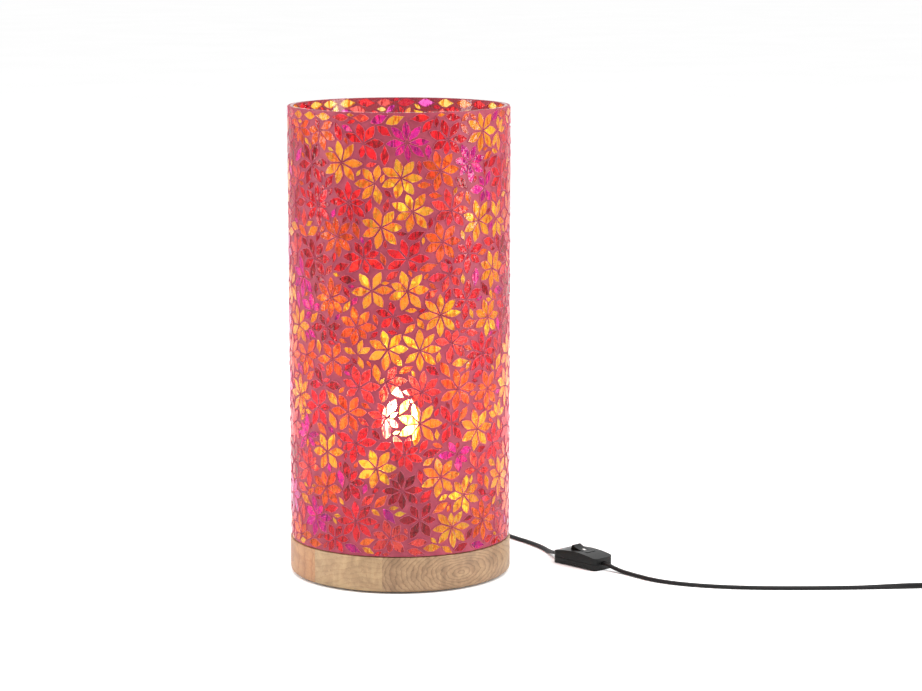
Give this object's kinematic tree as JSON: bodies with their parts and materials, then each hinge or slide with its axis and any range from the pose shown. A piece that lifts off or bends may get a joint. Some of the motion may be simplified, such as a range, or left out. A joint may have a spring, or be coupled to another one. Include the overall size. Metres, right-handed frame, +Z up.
{
  "type": "mosaic glass table lamp",
  "caption": "Cylindrical table lamp: an open-topped glass tube covered in glass petals on a turned wooden base, with a candle bulb and an inline rocker switch on a flat black lead.",
  "frame": {"origin": "middle of the base's underside, on the surface the lamp stands on", "axes": "+Z up along the glass cylinder's axis, +Y towards the back, where the lead leaves the base, +X to the lamp's right seen from the front"},
  "size_m": [0.699, 0.2905, 0.445],
  "materials": {
    "light_wood": "satin oiled",
    "clear_glass": "polished",
    "mosaic_glass": "hand-cut, glossy",
    "silicone": "satin",
    "felt": "felted",
    "hardboard": "pressed",
    "zinc_steel": "zinc plated",
    "brass": "bright",
    "black_plastic": "satin gloss",
    "black_lead": "satin PVC",
    "white_plastic": "satin",
    "opal_bulb": "opal, lit",
    "steatite": "unglazed",
    "led_board": "white solder mask",
    "brown_core": "PVC",
    "blue_core": "PVC"
  },
  "bodies": {
    "lamp": {"wooden_base": "light_wood", "silicone_bead": "silicone", "glass_cylinder": "clear_glass", "mosaic_skin": "mosaic_glass", "felt_ring": "felt", "base_cover": "hardboard", "cover_screw_1": "zinc_steel", "cover_screw_2": "zinc_steel", "cover_screw_3": "zinc_steel", "threaded_nipple": "zinc_steel", "lower_washer": "zinc_steel", "lower_nut": "brass", "top_washer": "zinc_steel", "top_nut": "brass", "cord_clamp": "white_plastic", "clamp_screw_1": "zinc_steel", "clamp_screw_2": "zinc_steel", "cord_boot": "black_lead", "inner_lead": "black_lead", "live_wire": "brown_core", "neutral_wire": "blue_core", "holder_cap": "black_plastic", "grub_screw": "zinc_steel", "holder_shell": "black_plastic", "holder_insert": "steatite", "holder_terminal_1": "brass", "holder_terminal_2": "brass", "screw_sleeve": "brass", "centre_contact": "brass", "switch_upper_shell": "black_plastic", "switch_lower_shell": "black_plastic", "switch_screw_1": "zinc_steel", "switch_screw_2": "zinc_steel", "live_terminal": "brass", "fulcrum_terminal": "brass", "neutral_link": "brass", "switch_terminal_screw_1": "zinc_steel", "switch_terminal_screw_2": "zinc_steel", "switch_terminal_screw_3": "zinc_steel", "switch_terminal_screw_4": "zinc_steel", "lead_lamp_side": "black_lead", "lead_plug_side": "black_lead", "lead_coil": "black_lead", "cable_tie": "black_plastic", "lead_tail": "black_lead", "plug_relief": "black_lead", "plug_body": "black_plastic", "plug_pin_1": "zinc_steel", "plug_pin_2": "zinc_steel"},
    "bulb": {"tip_contact": "brass", "cap_insulator": "black_plastic", "bulb_cap": "zinc_steel", "bulb_body": "white_plastic", "led_board": "led_board", "bulb_envelope": "opal_bulb"},
    "rocker": {"switch_rocker": "black_plastic", "contact_plunger": "white_plastic", "plunger_spring": "zinc_steel"},
    "seesaw": {"seesaw_contact": "brass"}
  },
  "joints": [
    {"name": "bulb_lift", "type": "slide", "parent": "lamp", "child": "bulb", "axis": [0, 0, 1], "range_m": [0, 0.026]},
    {"name": "rocker_tilt", "type": "hinge", "parent": "lamp", "child": "rocker", "pos_m": [0.176, 0.0084, 0.0126], "axis": [-0.7361, -0.6769, 0], "range_deg": [0, 24]},
    {"name": "seesaw_tilt", "type": "hinge", "parent": "lamp", "child": "seesaw", "pos_m": [0.176, 0.0084, 0.0044], "axis": [0.7361, 0.6769, 0], "range_deg": [0, 12]}
  ],
  "couplings": [
    {"joint": "seesaw_tilt", "follows": "rocker_tilt", "ratio": 0.5}
  ]
}
